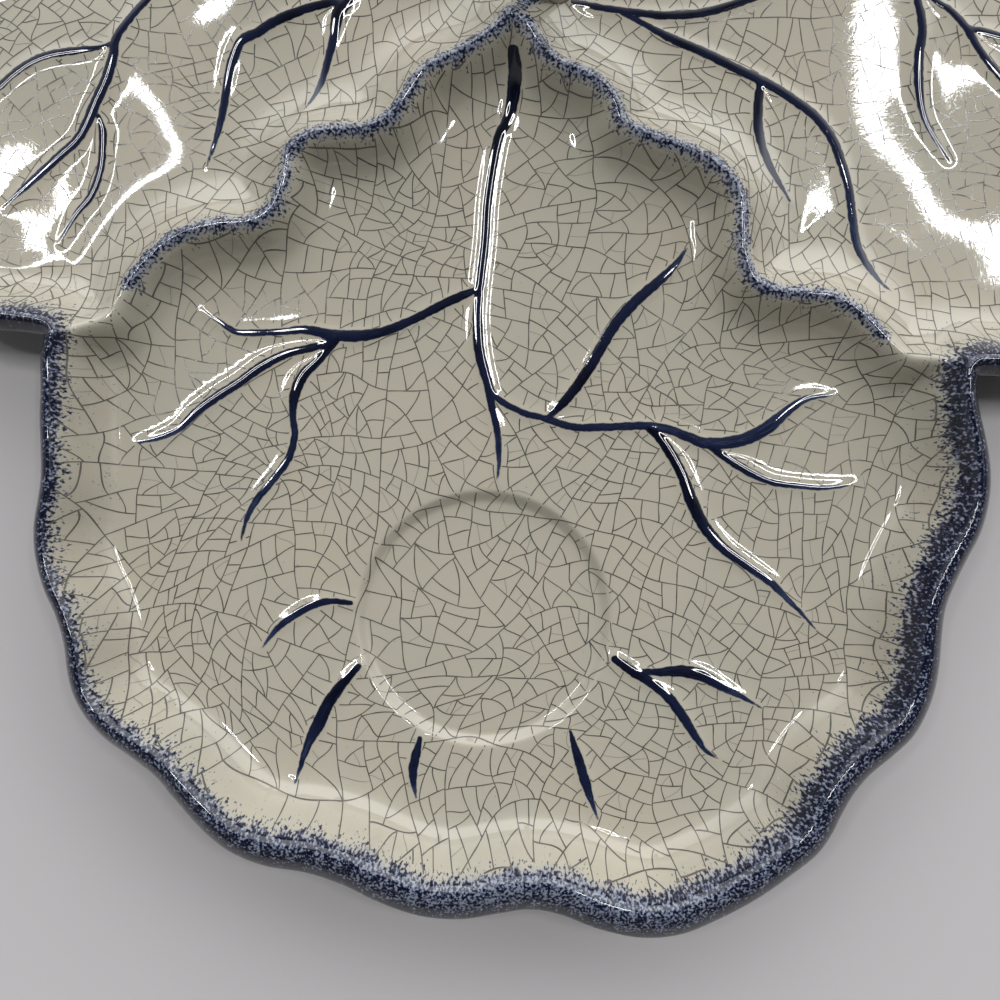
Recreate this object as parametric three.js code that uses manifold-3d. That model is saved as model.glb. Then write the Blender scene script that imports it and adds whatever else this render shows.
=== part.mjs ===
// A three-leaf chip and dip platter in crackle-glazed earthenware, made of the parts that a pottery
// forms and lutes together: three scalloped leaf dishes, a loop handle and a foot ring under each leaf.
// Millimetres, +Z up. The front leaf points to -Y, and +X is on the viewer's right.
import * as THREE from "three";
import { mergeVertices } from "three/addons/utils/BufferGeometryUtils.js";
import Module from "manifold-3d";

const wasm = await Module();
wasm.setup();

// Leaves, seen from above
const leafReach = 106; // half the front leaf's width, which every place below is a share of
const sideLeafRadius = 112; // from the middle of the left or right leaf to its rim
const sideScallopDepth = 4.4; // from the bulge of a scallop to the valley beside it
const sideScallopCount = 10; // round the rim of one side leaf

// Heights above the table
const footRingHeight = 3;
const floorThickness = 5;
const rimHeight = 26;
const dividerHeight = 20;

// Slopes and seams
const coveRun = 18; // from the smoothed outline in to the flat floor
const smoothingRun = 24; // the floor's edge ignores scallops shorter than this
const saddleRun = 16; // where a divider climbs to the rim
const notchBlend = 11; // where a divider's edge turns into a rim's lip
const seamGap = 0.3; // the luting clay between two leaves, or round the handle's feet

// Seat for a dip cup in the front leaf
const seatDepth = 2;
const seatFlatRadius = 25;
const seatOuterRadius = 29;

// Loop handle
const handleSpan = 52; // between the middles of its two feet
const handleHeight = 62; // the top of the loop above the table
const handleHalfWidth = 6.2;
const handleHalfThickness = 4.8;
const handleFlare = 2.2; // how much wider each side of the bar is where it leaves the floor
const flareHeight = 10; // how high that flare climbs
const socketDepth = 2.4; // how far the feet sit in the floor

// Foot rings
const footRingRadius = 62;
const footRingWidth = 6;
const footRingBevel = 0.8;

// Steps along and round
const scallopSteps = 8;
const rimSteps = 60;
const dividerSteps = 40;
const curveFineness = 20; // samples per step when a curve's length is measured
const turnSteps = 48;
const handleSteps = 34;
const barSides = 16;

// Places, as shares of leafReach from the middle of the front leaf
const frontRimShares = [
  [-0.922, 0.334], [-0.93, 0.23], [-0.932, 0.05], [-0.946, -0.08], [-0.914, -0.21],
  [-0.882, -0.32], [-0.832, -0.456], [-0.74, -0.526], [-0.67, -0.596], [-0.588, -0.684],
  [-0.49, -0.738], [-0.39, -0.756], [-0.27, -0.806], [-0.12, -0.848], [-0.02, -0.844],
  [0.06, -0.83], [0.16, -0.852], [0.29, -0.888], [0.4, -0.87], [0.49, -0.824],
  [0.59, -0.774], [0.664, -0.71], [0.696, -0.63], [0.744, -0.564], [0.84, -0.476],
  [0.886, -0.38], [0.896, -0.28], [0.928, -0.16], [0.976, -0.07], [0.996, 0.044],
  [0.986, 0.12], [0.966, 0.21], [0.968, 0.252],
];
const leftDividerShares = [
  [0.02, 0.992], [-0.029, 0.951], [-0.092, 0.912], [-0.153, 0.879], [-0.188, 0.832],
  [-0.221, 0.785], [-0.272, 0.759], [-0.337, 0.755], [-0.393, 0.744], [-0.43, 0.714],
  [-0.44, 0.665], [-0.466, 0.597], [-0.507, 0.571], [-0.573, 0.564], [-0.638, 0.55],
  [-0.695, 0.517], [-0.746, 0.464], [-0.777, 0.413], [-0.808, 0.368], [-0.862, 0.352],
  [-0.922, 0.334],
];
const rightDividerShares = [
  [0.02, 0.992], [0.049, 0.982], [0.078, 0.941], [0.112, 0.9], [0.17, 0.875],
  [0.217, 0.845], [0.237, 0.814], [0.25, 0.777], [0.286, 0.755], [0.348, 0.732],
  [0.409, 0.708], [0.458, 0.673], [0.491, 0.624], [0.497, 0.562], [0.499, 0.507],
  [0.519, 0.452], [0.562, 0.427], [0.624, 0.421], [0.685, 0.413], [0.74, 0.378],
  [0.794, 0.325], [0.834, 0.292], [0.9, 0.272], [0.968, 0.252],
];
const backDividerShares = [
  [0.02, 0.992], [0.055, 1.04], [0.102, 1.091], [0.125, 1.16], [0.15, 1.23],
  [0.13, 1.3], [0.1, 1.37], [0.1, 1.44], [0.13, 1.5], [0.134, 1.58],
  [0.15, 1.66], [0.19, 1.71], [0.19, 1.79], [0.15, 1.86], [0.135, 1.93],
  [0.165, 2.0], [0.205, 2.06], [0.2, 2.13], [0.175, 2.203],
];
const hubShares = [0.102, 1.091]; // the handle's front foot, where the main veins start
const seatShares = [-0.034, -0.251];
const frontMiddleShares = [0, -0.04];
const leftMiddleShares = [-0.736, 1.481];
const rightMiddleShares = [0.99, 1.396];

// The back divider dies away at the hub and starts again behind the handle's foot. These are the
// shares of its length where it has gone, where it comes back and where it is whole again.
const hubGapShares = [0.06, 0.17, 0.27];

// Sections from a leaf's edge (0) in to its flat floor (1), as shares of the run and of the height
const rimTopShares = [
  [0, 0.8], [0.06, 0.95], [0.13, 1], [0.22, 0.93], [0.37, 0.66], [0.56, 0.32], [0.78, 0.09],
];
const dividerTopShares = [
  [0, 1], [0.05, 0.97], [0.12, 0.85], [0.21, 0.62], [0.34, 0.34], [0.52, 0.13], [0.76, 0.02],
];
const rimUnderShares = [[0.02, 0.77], [0.3, 0.48], [0.55, 0.17], [0.85, 0]];
const dividerUnderShares = [[0, 0.77], [0, 0.48], [0, 0.17], [0, 0]];
const notchRimShare = 0.5; // how far the section at a notch is a rim's

const floorTop = footRingHeight + floorThickness;
const fullTurn = 2 * Math.PI;

function place([xShare, yShare]) {
  return new THREE.Vector3(xShare * leafReach, yShare * leafReach, 0);
}

function ease(share) {
  return THREE.MathUtils.smoothstep(share, 0, 1);
}

function mix(from, to, share) {
  return THREE.MathUtils.lerp(from, to, share);
}

// Evenly spaced points on the smooth curve through a list of places
function curveThrough(places, steps) {
  const curve = new THREE.CatmullRomCurve3(places, false, "centripetal");
  curve.arcLengthDivisions = curveFineness * steps;
  return curve.getSpacedPoints(steps);
}

// A side leaf's scalloped rim, turning from one notch to the other round the leaf's middle
function sideRim(middle, from, to) {
  const start = from.clone().sub(middle);
  const end = to.clone().sub(middle);
  const startAngle = Math.atan2(start.y, start.x);
  const sweep = THREE.MathUtils.euclideanModulo(Math.atan2(end.y, end.x) - startAngle, fullTurn);
  const steps = scallopSteps * sideScallopCount;
  const places = [];
  for (let step = 0; step <= steps; step++) {
    const share = step / steps;
    const notchDistance = mix(start.length(), end.length(), share);
    const plainRadius = mix(notchDistance, sideLeafRadius, Math.sin(Math.PI * share));
    const bulgeShare = Math.sin(Math.PI * sideScallopCount * share) ** 2;
    const radius = plainRadius + sideScallopDepth * bulgeShare;
    const angle = startAngle + sweep * share;
    const spoke = new THREE.Vector3(Math.cos(angle), Math.sin(angle), 0);
    places.push(spoke.multiplyScalar(radius).add(middle));
  }
  return curveThrough(places, rimSteps);
}

// The distance of each point of an open line from its start
function runsAlong(points) {
  const runs = [0];
  for (let i = 1; i < points.length; i++) {
    runs.push(runs[i - 1] + points[i].distanceTo(points[i - 1]));
  }
  return runs;
}

// An edge point is where a leaf ends: its place, its height, and how far its section is a rim's.
function rimEdge(points) {
  const runs = runsAlong(points);
  const whole = runs.at(-1);
  return points.map((at, i) => {
    const fromNotch = Math.min(runs[i], whole - runs[i]);
    return { at, height: rimHeight, rimShare: mix(notchRimShare, 1, ease(fromNotch / notchBlend)) };
  });
}

function dividerEdge(points, gapShares) {
  const runs = runsAlong(points);
  const whole = runs.at(-1);
  return points.map((at, i) => {
    const fromNotch = whole - runs[i];
    let height = mix(rimHeight, dividerHeight, ease(fromNotch / saddleRun));
    if (gapShares) {
      const [gone, back, full] = gapShares.map((share) => share * whole);
      const standing = runs[i] < gone ? ease(1 - runs[i] / gone) : ease((runs[i] - back) / (full - back));
      height = mix(floorTop, height, standing);
    }
    return { at, height, rimShare: notchRimShare * ease(1 - fromNotch / notchBlend) };
  });
}

// The edge of the flat floor: the leaf's outline without its scallops, moved inwards
function floorEdge(outline) {
  const count = outline.length;
  const steps = outline.map((at, i) => at.distanceTo(outline[(i + 1) % count]));
  const smooth = outline.map((at, i) => {
    const sum = at.clone().multiplyScalar(steps[i]);
    let weight = steps[i];
    for (const way of [1, -1]) {
      let run = 0;
      let j = i;
      while (run < smoothingRun) {
        run += steps[way > 0 ? j : (j - 1 + count) % count];
        j = (j + way + count) % count;
        sum.addScaledVector(outline[j], steps[j]);
        weight += steps[j];
      }
    }
    return sum.divideScalar(weight);
  });
  return smooth.map((at, i) => {
    const along = smooth[(i + 1) % count].clone().sub(smooth[(i - 1 + count) % count]).normalize();
    return new THREE.Vector3(-along.y, along.x, 0).multiplyScalar(coveRun).add(at);
  });
}

// A closed surface over rings of points that turn anticlockwise, from a top point to a bottom point
function shellOf(top, rings, bottom) {
  const count = rings[0].length;
  const points = [top, ...rings.flat(), bottom];
  const index = [];
  const last = points.length - 1;
  for (let i = 0; i < count; i++) {
    const next = (i + 1) % count;
    index.push(0, 1 + i, 1 + next);
    for (let ring = 1; ring < rings.length; ring++) {
      const inner = 1 + (ring - 1) * count;
      const outer = 1 + ring * count;
      index.push(inner + i, outer + i, outer + next, inner + i, outer + next, inner + next);
    }
    const final = 1 + (rings.length - 1) * count;
    index.push(final + i, last, final + next);
  }
  return new THREE.BufferGeometry().setFromPoints(points).setIndex(index);
}

function sectionOf(rimShares, dividerShares, rimShare) {
  return rimShares.map(([run, height], i) => [
    mix(dividerShares[i][0], run, rimShare),
    mix(dividerShares[i][1], height, rimShare),
  ]);
}

// One leaf: its floor, the slope up to its edge, its outer wall and its flat underside
function leafGeometry(edges, middle) {
  const inner = floorEdge(edges.map((edge) => edge.at));
  const spokes = edges.map(({ at }, i) => {
    const inwards = inner[i].clone().sub(at);
    const outer = at.clone().addScaledVector(inwards.clone().normalize(), seamGap / 2);
    return (runShare, z) => outer.clone().lerp(inner[i], runShare).setZ(z);
  });
  const topSections = edges.map((edge) => sectionOf(rimTopShares, dividerTopShares, edge.rimShare));
  const underSections = edges.map((edge) => sectionOf(rimUnderShares, dividerUnderShares, edge.rimShare));
  const rings = [spokes.map((spoke) => spoke(1, floorTop))];
  for (let k = rimTopShares.length - 1; k >= 0; k--) {
    rings.push(spokes.map((spoke, i) => {
      const [run, rise] = topSections[i][k];
      return spoke(run, mix(floorTop, edges[i].height, rise));
    }));
  }
  for (let k = 0; k < rimUnderShares.length; k++) {
    rings.push(spokes.map((spoke, i) => {
      const [run, rise] = underSections[i][k];
      const edgeTop = mix(floorTop, edges[i].height, topSections[i][0][1]);
      return spoke(run, mix(footRingHeight, edgeTop, rise));
    }));
  }
  rings.push(spokes.map((spoke) => spoke(1, footRingHeight)));
  return shellOf(middle.clone().setZ(floorTop), rings, middle.clone().setZ(footRingHeight));
}

// The handle stands on its front foot at the origin and arches over to +Y. Grown by a gap, it is
// also the cutter for its sockets.
function handleGeometry(gap) {
  const base = floorTop - socketDepth;
  const archRise = handleHeight - handleHalfThickness - base;
  const rings = [];
  for (let step = 0; step <= handleSteps; step++) {
    const angle = (Math.PI * step) / handleSteps;
    const middle = new THREE.Vector3(
      0,
      (handleSpan / 2) * (1 - Math.cos(angle)),
      base + archRise * Math.sin(angle),
    );
    const along = new THREE.Vector3(0, (handleSpan / 2) * Math.sin(angle), archRise * Math.cos(angle));
    const across = new THREE.Vector3(0, -along.z, along.y).normalize();
    const flare = handleFlare * ease(1 - (middle.z - floorTop) / flareHeight);
    const sunk = step === 0 || step === handleSteps ? gap : 0;
    const ring = [];
    for (let side = 0; side < barSides; side++) {
      const turn = (fullTurn * side) / barSides;
      const point = middle.clone();
      point.x += (handleHalfWidth + flare + gap) * Math.cos(turn);
      point.addScaledVector(across, (handleHalfThickness + flare + gap) * Math.sin(turn));
      point.z -= sunk;
      ring.push(point);
    }
    rings.push(ring);
  }
  const start = new THREE.Vector3(0, 0, base - gap);
  const end = new THREE.Vector3(0, handleSpan, base - gap);
  return shellOf(start, rings, end);
}

function footRingGeometry() {
  const inner = footRingRadius - footRingWidth;
  const profile = [
    [inner, footRingHeight],
    [inner, footRingBevel],
    [inner + footRingBevel, 0],
    [footRingRadius - footRingBevel, 0],
    [footRingRadius, footRingBevel],
    [footRingRadius, footRingHeight],
    [inner, footRingHeight],
  ].map(([radius, height]) => new THREE.Vector2(radius, height));
  return new THREE.LatheGeometry(profile, turnSteps);
}

// The tool that presses the cup's seat: a shallow cone that runs on above the floor
function seatCutterGeometry() {
  const slope = (seatOuterRadius - seatFlatRadius) / seatDepth;
  const profile = [
    [0, floorTop - seatDepth],
    [seatFlatRadius, floorTop - seatDepth],
    [seatOuterRadius + slope * seatDepth, floorTop + seatDepth],
    [0, floorTop + seatDepth],
  ].map(([radius, height]) => new THREE.Vector2(radius, height));
  return new THREE.LatheGeometry(profile, turnSteps).rotateX(Math.PI / 2);
}

function solidOf(geometry) {
  const bare = new THREE.BufferGeometry().setAttribute("position", geometry.getAttribute("position"));
  bare.setIndex(geometry.getIndex());
  const merged = mergeVertices(bare);
  const corners = merged.getIndex().array;
  const kept = [];
  for (let i = 0; i < corners.length; i += 3) {
    const [a, b, c] = corners.slice(i, i + 3);
    if (a !== b && b !== c && c !== a) kept.push(a, b, c);
  }
  const vertProperties = new Float32Array(merged.getAttribute("position").array);
  return new wasm.Manifold(new wasm.Mesh({ numProp: 3, vertProperties, triVerts: new Uint32Array(kept) }));
}

function geometryOf(solid) {
  const { vertProperties, triVerts } = solid.getMesh();
  const geometry = new THREE.BufferGeometry();
  geometry.setAttribute("position", new THREE.BufferAttribute(vertProperties, 3));
  geometry.setIndex(new THREE.BufferAttribute(triVerts, 1));
  geometry.computeVertexNormals();
  return geometry;
}

const glaze = new THREE.MeshStandardMaterial({ color: 0xc9c4b6, roughness: 0.15, metalness: 0 });
const bareClay = new THREE.MeshStandardMaterial({ color: 0xd8cdb8, roughness: 0.85, metalness: 0 });
const handleGlaze = glaze.clone();

// The outlines meet at the front leaf's tip and at three notches in the rim.
const leftDivider = curveThrough(leftDividerShares.map(place), dividerSteps);
const rightDivider = curveThrough(rightDividerShares.map(place), dividerSteps);
const backDivider = curveThrough(backDividerShares.map(place), dividerSteps);
const frontRim = curveThrough(frontRimShares.map(place), rimSteps);
const leftRim = sideRim(place(leftMiddleShares), backDivider.at(-1), leftDivider.at(-1));
const rightRim = sideRim(place(rightMiddleShares), rightDivider.at(-1), backDivider.at(-1));

const leftEdge = dividerEdge(leftDivider);
const rightEdge = dividerEdge(rightDivider);
const backEdge = dividerEdge(backDivider, hubGapShares);

// Each leaf's whole edge, anticlockwise: its rim, in along one divider and out along the other
function closedEdge(rim, inwards, outwards) {
  return [...rimEdge(rim), ...inwards.toReversed().slice(1), ...outwards.slice(1, -1)];
}

const hub = place(hubShares);
const backNotch = backDivider.at(-1);
const handleTurn = Math.atan2(hub.x - backNotch.x, backNotch.y - hub.y);
const handlePlace = new THREE.Matrix4().makeRotationZ(handleTurn).setPosition(hub);
const socketCutter = solidOf(handleGeometry(seamGap).applyMatrix4(handlePlace));
const seatPlace = new THREE.Matrix4().setPosition(place(seatShares));
const seatCutter = solidOf(seatCutterGeometry().applyMatrix4(seatPlace));

function leafMesh(name, edges, middle, cutters) {
  let solid = solidOf(leafGeometry(edges, middle));
  for (const cutter of cutters) solid = solid.subtract(cutter);
  const mesh = new THREE.Mesh(geometryOf(solid), glaze.clone());
  mesh.name = name;
  return mesh;
}

function footRingMesh(name, middle) {
  const mesh = new THREE.Mesh(footRingGeometry(), bareClay.clone());
  mesh.name = name;
  mesh.rotation.x = Math.PI / 2;
  mesh.position.copy(middle);
  return mesh;
}

const leaves = [
  ["front", closedEdge(frontRim, rightEdge, leftEdge), place(frontMiddleShares), [socketCutter, seatCutter]],
  ["left", closedEdge(leftRim, leftEdge, backEdge), place(leftMiddleShares), [socketCutter]],
  ["right", closedEdge(rightRim, backEdge, rightEdge), place(rightMiddleShares), [socketCutter]],
];
const platter = new THREE.Group();
for (const [side, edges, middle, cutters] of leaves) {
  platter.add(leafMesh(`${side}_leaf_dish`, edges, middle, cutters));
  platter.add(footRingMesh(`${side}_foot_ring`, middle));
}
const handle = new THREE.Mesh(handleGeometry(0), handleGlaze);
handle.name = "loop_handle";
handle.position.copy(hub);
handle.rotation.z = handleTurn;
platter.add(handle);

// The part's origin is on the table under the middle of its outline.
const extent = new THREE.Box3().setFromObject(platter);
platter.position.set(-(extent.min.x + extent.max.x) / 2, -(extent.min.y + extent.max.y) / 2, 0);
const part = new THREE.Group();
part.add(platter);

export default part;
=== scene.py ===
# A three-leaf chip and dip platter in crackle-glazed earthenware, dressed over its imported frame.
# Sizes are in millimetres on the platter's own plan until a mesh is made, and in metres after that.
import math

import bpy
import numpy as np
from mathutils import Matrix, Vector
from mathutils.bvhtree import BVHTree
from mathutils.geometry import delaunay_2d_cdt


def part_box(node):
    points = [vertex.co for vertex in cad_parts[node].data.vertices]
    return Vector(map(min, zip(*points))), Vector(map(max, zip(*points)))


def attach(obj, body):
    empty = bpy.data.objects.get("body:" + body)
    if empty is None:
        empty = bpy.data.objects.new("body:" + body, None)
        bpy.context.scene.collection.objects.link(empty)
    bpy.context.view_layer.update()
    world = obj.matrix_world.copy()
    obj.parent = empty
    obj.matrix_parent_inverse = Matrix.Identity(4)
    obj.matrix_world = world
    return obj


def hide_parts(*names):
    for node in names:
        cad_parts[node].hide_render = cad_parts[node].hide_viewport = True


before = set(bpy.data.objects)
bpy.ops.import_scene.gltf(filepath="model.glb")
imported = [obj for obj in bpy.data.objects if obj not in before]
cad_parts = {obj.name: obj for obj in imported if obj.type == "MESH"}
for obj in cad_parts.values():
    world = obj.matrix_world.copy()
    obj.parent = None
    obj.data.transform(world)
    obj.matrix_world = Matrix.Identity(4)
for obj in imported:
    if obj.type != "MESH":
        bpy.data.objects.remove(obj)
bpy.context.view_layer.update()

MM = 0.001
TURN = 2 * math.pi

# Camera and plan
EYE_HEIGHT = 290.0
LENS = 45.0
SENSOR = 36.0
VIEW_MIDDLE = 500.0
PIXEL_RUN = SENSOR / LENS / 1000
FRONT_MIDDLE = (0.0, -4.24)  # the front foot ring's middle on the plan

ring_low, ring_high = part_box("front_foot_ring")
plan_x = (ring_low.x + ring_high.x) / 2 / MM - FRONT_MIDDLE[0]
plan_y = (ring_low.y + ring_high.y) / 2 / MM - FRONT_MIDDLE[1]

camera_data = bpy.data.cameras.new("camera")
camera_data.lens = LENS
camera_data.sensor_width = SENSOR
camera_data.clip_start = 0.01
camera = bpy.data.objects.new("camera", camera_data)
camera.location = (plan_x * MM, plan_y * MM, EYE_HEIGHT * MM)
bpy.context.scene.collection.objects.link(camera)
bpy.context.scene.camera = camera


def seen(points, height):
    """Places on the plan, in mm, of points in the view that lie at a height above the table."""
    at = np.array(points, float)
    run = (EYE_HEIGHT - height) * PIXEL_RUN
    at[:, 0] = (at[:, 0] - VIEW_MIDDLE) * run
    at[:, 1] = (VIEW_MIDDLE - at[:, 1]) * run
    return at


# Heights
FLOOR = 8.0
UNDERSIDE = 3.0
RIM_TOP = 26.0
RIM_SEEN = 25.0
RIDGE_TOP = 20.0
RIDGE_SEEN = 19.0

# Outlines, as seen
FRONT_RIM = [
    (39, 333), (34, 352), (34, 385), (33, 420), (34, 450), (34, 478), (31, 500), (27, 525), (28, 555),
    (36, 588), (49, 618), (57, 645), (61, 675), (67, 698), (79, 720), (98, 741), (126, 761), (151, 781),
    (168, 801), (186, 822), (206, 842), (230, 859), (262, 871), (304, 878), (340, 890), (380, 909),
    (420, 922), (460, 925), (500, 919), (530, 915), (560, 920), (600, 935), (645, 944), (685, 940),
    (722, 925), (760, 905), (796, 880), (822, 859), (836, 840), (846, 820), (857, 801), (874, 780),
    (898, 760), (919, 740), (932, 718), (941, 693), (946, 665), (948, 640), (952, 610), (963, 582),
    (975, 558), (987, 535), (995, 508), (998, 478), (995, 447), (988, 415), (984, 392), (984, 374),
]
LEFT_RIDGE = [
    (510, 15), (486, 35), (455, 54), (425, 70), (408, 93), (392, 116), (367, 129), (335, 131), (308, 136),
    (290, 151), (285, 175), (272, 208), (252, 221), (220, 224), (188, 231), (160, 247), (135, 273),
    (120, 298), (105, 320), (78, 328), (39, 333),
]
RIGHT_RIDGE = [
    (510, 15), (524, 20), (538, 40), (555, 60), (583, 72), (606, 87), (616, 102), (622, 120), (640, 131),
    (670, 142), (700, 154), (724, 171), (740, 195), (743, 225), (744, 252), (754, 279), (775, 291),
    (805, 294), (835, 298), (862, 315), (888, 341), (908, 357), (948, 362), (984, 374),
]
RIDGE_BAND = 2.1
RIDGE_SPECKS = -0.01
# Out of the view, so in shares of the front leaf's half width
LEAF_REACH = 106.0
BACK_RIDGE_SHARES = [
    (0.02, 0.992), (0.055, 1.04), (0.102, 1.091), (0.125, 1.16), (0.15, 1.23), (0.13, 1.3), (0.1, 1.37),
    (0.1, 1.44), (0.13, 1.5), (0.134, 1.58), (0.15, 1.66), (0.19, 1.71), (0.19, 1.79), (0.15, 1.86),
    (0.135, 1.93), (0.165, 2.0), (0.205, 2.06), (0.2, 2.13), (0.175, 2.203),
]
HUB = (0.102 * LEAF_REACH, 1.091 * LEAF_REACH)
LEFT_MIDDLE = (-0.736 * LEAF_REACH, 1.481 * LEAF_REACH)
RIGHT_MIDDLE = (0.99 * LEAF_REACH, 1.396 * LEAF_REACH)
SIDE_RADIUS = 112.0
SCALLOP_DEPTH = 4.4
SCALLOPS = 10
SEAT_MIDDLE = (-0.034 * LEAF_REACH, -0.251 * LEAF_REACH)
SEAT_STEP = 2.7
SEAT_OUTER = 28.9
SEAT_DEPTH = 2.0
FRONT_SWELL = 0.05


def unit(ways, least=0):
    """Ways, one a row, made one long."""
    return ways / (np.linalg.norm(ways, axis=1)[:, None] + least)


def left_of(loop):
    """The unit ways that point left of a closed line at its points."""
    along = unit(np.roll(loop, -1, axis=0) - np.roll(loop, 1, axis=0))
    return np.stack([-along[:, 1], along[:, 0]], 1)


def ease(share):
    share = np.clip(share, 0, 1)
    return share * share * (3 - 2 * share)


def curve_between(a, b, start, end, u):
    """Points at shares u of the curve from a to b that leaves and arrives in given ways."""
    ends = a * (1 - 3 * u**2 + 2 * u**3) + b * (3 * u**2 - 2 * u**3)
    return ends + start * (u - 2 * u**2 + u**3) + end * (u**3 - u**2)


def curve_through(points, step):
    """Evenly spaced points on the centripetal Catmull-Rom curve through some points."""
    at = np.array(points, float)
    at = np.vstack([2 * at[0] - at[1], at, 2 * at[-1] - at[-2]])
    gaps = np.sqrt(np.linalg.norm(np.diff(at[:, :2], axis=0), axis=1)) + 1e-9
    pieces = []
    u = np.linspace(0, 1, 25)[:-1, None]
    for i in range(1, len(at) - 2):
        g0, g1, g2 = gaps[i - 1], gaps[i], gaps[i + 1]
        a, b, c, d = at[i - 1], at[i], at[i + 1], at[i + 2]
        start = ((b - a) / g0 - (c - a) / (g0 + g1) + (c - b) / g1) * g1
        end = ((c - b) / g1 - (d - b) / (g1 + g2) + (d - c) / g2) * g1
        pieces.append(curve_between(b, c, start, end, u))
    fine = np.vstack(pieces + [at[-2:-1]])
    return evenly(fine, step)


def runs_of(line):
    """How far along a line each of its points is."""
    return np.concatenate([[0], np.cumsum(np.linalg.norm(np.diff(line[:, :2], axis=0), axis=1))])


def evenly(line, step):
    run = runs_of(line)
    count = max(2, int(round(run[-1] / step)) + 1)
    at = np.linspace(0, run[-1], count)
    return np.stack([np.interp(at, run, line[:, k]) for k in range(line.shape[1])], 1)


def side_rim(middle, start_at, end_at, step):
    """A side leaf's scalloped rim, turning from one notch to the other round the leaf's middle."""
    middle = np.array(middle)
    start = start_at - middle
    end = end_at - middle
    start_turn = math.atan2(start[1], start[0])
    sweep = (math.atan2(end[1], end[0]) - start_turn) % TURN
    share = np.linspace(0, 1, 80 * SCALLOPS)
    notch_run = np.hypot(*start) * (1 - share) + np.hypot(*end) * share
    swell = np.sin(math.pi * share)
    radius = notch_run * (1 - swell) + SIDE_RADIUS * swell
    radius = radius + SCALLOP_DEPTH * np.sin(math.pi * SCALLOPS * share) ** 2
    turn = start_turn + sweep * share
    line = middle + radius[:, None] * np.stack([np.cos(turn), np.sin(turn)], 1)
    return evenly(line, step)


EDGE_STEP = 0.9
front_rim = curve_through(seen(FRONT_RIM, RIM_SEEN), EDGE_STEP)
left_ridge = curve_through(seen(LEFT_RIDGE, RIDGE_SEEN), EDGE_STEP)
right_ridge = curve_through(seen(RIGHT_RIDGE, RIDGE_SEEN), EDGE_STEP)
back_ridge = curve_through(np.array(BACK_RIDGE_SHARES) * LEAF_REACH, EDGE_STEP)


def ends_at(line, at, run):
    """Bends the last stretch of a line so that it ends at a point."""
    left = runs_of(line)[-1] - runs_of(line)
    return line + ease(1 - left / run)[:, None] * (at - line[-1])


left_ridge = ends_at(left_ridge, front_rim[0], 14.0)
right_ridge = ends_at(right_ridge, front_rim[-1], 14.0)
left_rim = side_rim(LEFT_MIDDLE, back_ridge[-1], front_rim[0], EDGE_STEP)
right_rim = side_rim(RIGHT_MIDDLE, front_rim[-1], back_ridge[-1], EDGE_STEP)

# Each leaf's closed edge, anticlockwise: its rim first, then its two dividers
leaf_edges = {
    "front": [front_rim, right_ridge[::-1][1:], left_ridge[1:-1]],
    "left": [left_rim, left_ridge[::-1][1:], back_ridge[1:-1]],
    "right": [right_rim, back_ridge[::-1][1:], right_ridge[1:-1]],
}
outer_edge = np.vstack([front_rim[:-1], right_rim[:-1], left_rim])

# The rim's section round the platter
# Where the rim's crest lies in from the edge, how wide the blue band is, how much denser its specks are
# and how far the slope runs, at points along the front rim as shares of its length
FRONT_LIP_SHARES = [0.0, 0.1, 0.2, 0.28, 0.38, 0.5, 0.62, 0.7, 0.8, 0.9, 1.0]
FRONT_CREST = [3.0, 3.2, 3.6, 4.6, 6.4, 7.2, 6.8, 6.0, 5.2, 4.2, 3.4]
FRONT_BAND = [5.6, 4.9, 5.4, 6.8, 9.2, 9.8, 10.2, 9.8, 9.2, 8.6, 7.4]
FRONT_SPECKS = [0.05, 0.055, 0.05, 0.045, 0.035, -0.01, 0.02, 0.04, 0.07, 0.075, 0.07]
FRONT_SLOPE = [21.5, 21.5, 22.0, 23.0, 24.5, 25.0, 25.0, 25.0, 25.5, 25.5, 23.5]
SIDE_CREST = 4.2
SIDE_BAND = 6.6
SIDE_SPECKS = 0.04
SIDE_SLOPE = 24.0
RIM_BLEND = 40
front_count = len(front_rim) - 1
front_run = np.linspace(0, 1, front_count)


def round_rim(front_values, side_value):
    """A value at each point of the outer edge."""
    values = np.full(len(outer_edge), side_value)
    values[:front_count] = np.interp(front_run, FRONT_LIP_SHARES, front_values)
    for i in range(RIM_BLEND):
        share = ease(np.array(i / RIM_BLEND))
        values[front_count + i] = front_values[-1] * (1 - share) + side_value * share
        values[-1 - i] = front_values[0] * (1 - share) + side_value * share
    return values


crest_round = round_rim(FRONT_CREST, SIDE_CREST)
band_round = round_rim(FRONT_BAND, SIDE_BAND)
slope_round = round_rim(FRONT_SLOPE, SIDE_SLOPE)
speck_round = round_rim(FRONT_SPECKS, SIDE_SPECKS)

# Rasters over the plan
PITCH = 0.25
MARGIN = 6.0
low = outer_edge.min(0) - MARGIN
high = outer_edge.max(0) + MARGIN
columns, rows = (np.ceil((high - low) / PITCH).astype(int) + 1)
grid_x = low[0] + PITCH * np.arange(columns)
grid_y = low[1] + PITCH * np.arange(rows)
far = 1e3


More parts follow.
